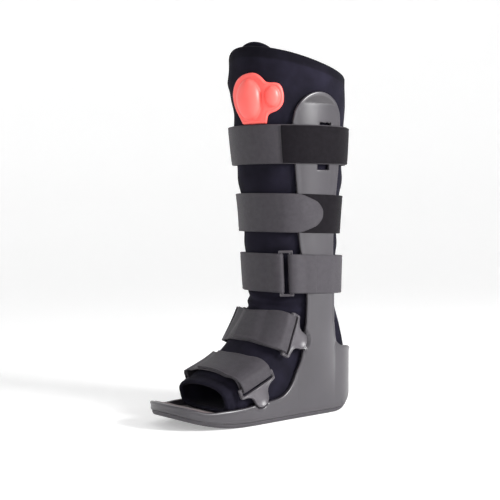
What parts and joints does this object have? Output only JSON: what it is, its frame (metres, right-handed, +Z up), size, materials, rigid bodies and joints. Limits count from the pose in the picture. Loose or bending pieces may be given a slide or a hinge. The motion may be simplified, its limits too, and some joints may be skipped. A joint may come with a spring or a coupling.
{
  "type": "medical walking boot",
  "caption": "Tall walking boot with a rocker sole, a moulded shell with side uprights, a padded liner with an air pump, and hook-and-pile straps.",
  "frame": {"origin": "middle of the boot's box in X and Y, on the floor at the underside of the outsole", "axes": "+Z up the leg, -Y towards the toes, +X towards the side with the visible loops, ring and pile patch"},
  "size_m": [0.1296, 0.268, 0.4306],
  "materials": {
    "shell_plastic": "fine grain",
    "sole_rubber": "matte",
    "footbed_foam": "felt",
    "liner_cloth": "brushed loop",
    "strap_webbing": "fine rib",
    "pile": "pile",
    "loop_plastic": "smooth",
    "pump_rubber": "smooth"
  },
  "bodies": {
    "root": {"shell": "shell_plastic", "outsole": "sole_rubber", "footbed": "footbed_foam", "liner": "liner_cloth", "tongue": "liner_cloth", "air_pump": "pump_rubber", "leg_strap_top": "strap_webbing", "pile_top": "pile", "leg_strap_middle": "strap_webbing", "pile_middle": "pile", "leg_strap_lower_front": "strap_webbing", "leg_strap_lower_side": "strap_webbing", "strap_ring": "loop_plastic", "foot_strap_upper": "strap_webbing", "foot_strap_lower": "strap_webbing", "loop_upper": "loop_plastic", "loop_pin_upper": "loop_plastic", "loop_lower": "loop_plastic", "loop_pin_lower": "loop_plastic", "loop_upper_far": "loop_plastic", "loop_pin_upper_far": "loop_plastic", "loop_lower_far": "loop_plastic", "loop_pin_lower_far": "loop_plastic"}
  },
  "joints": []
}
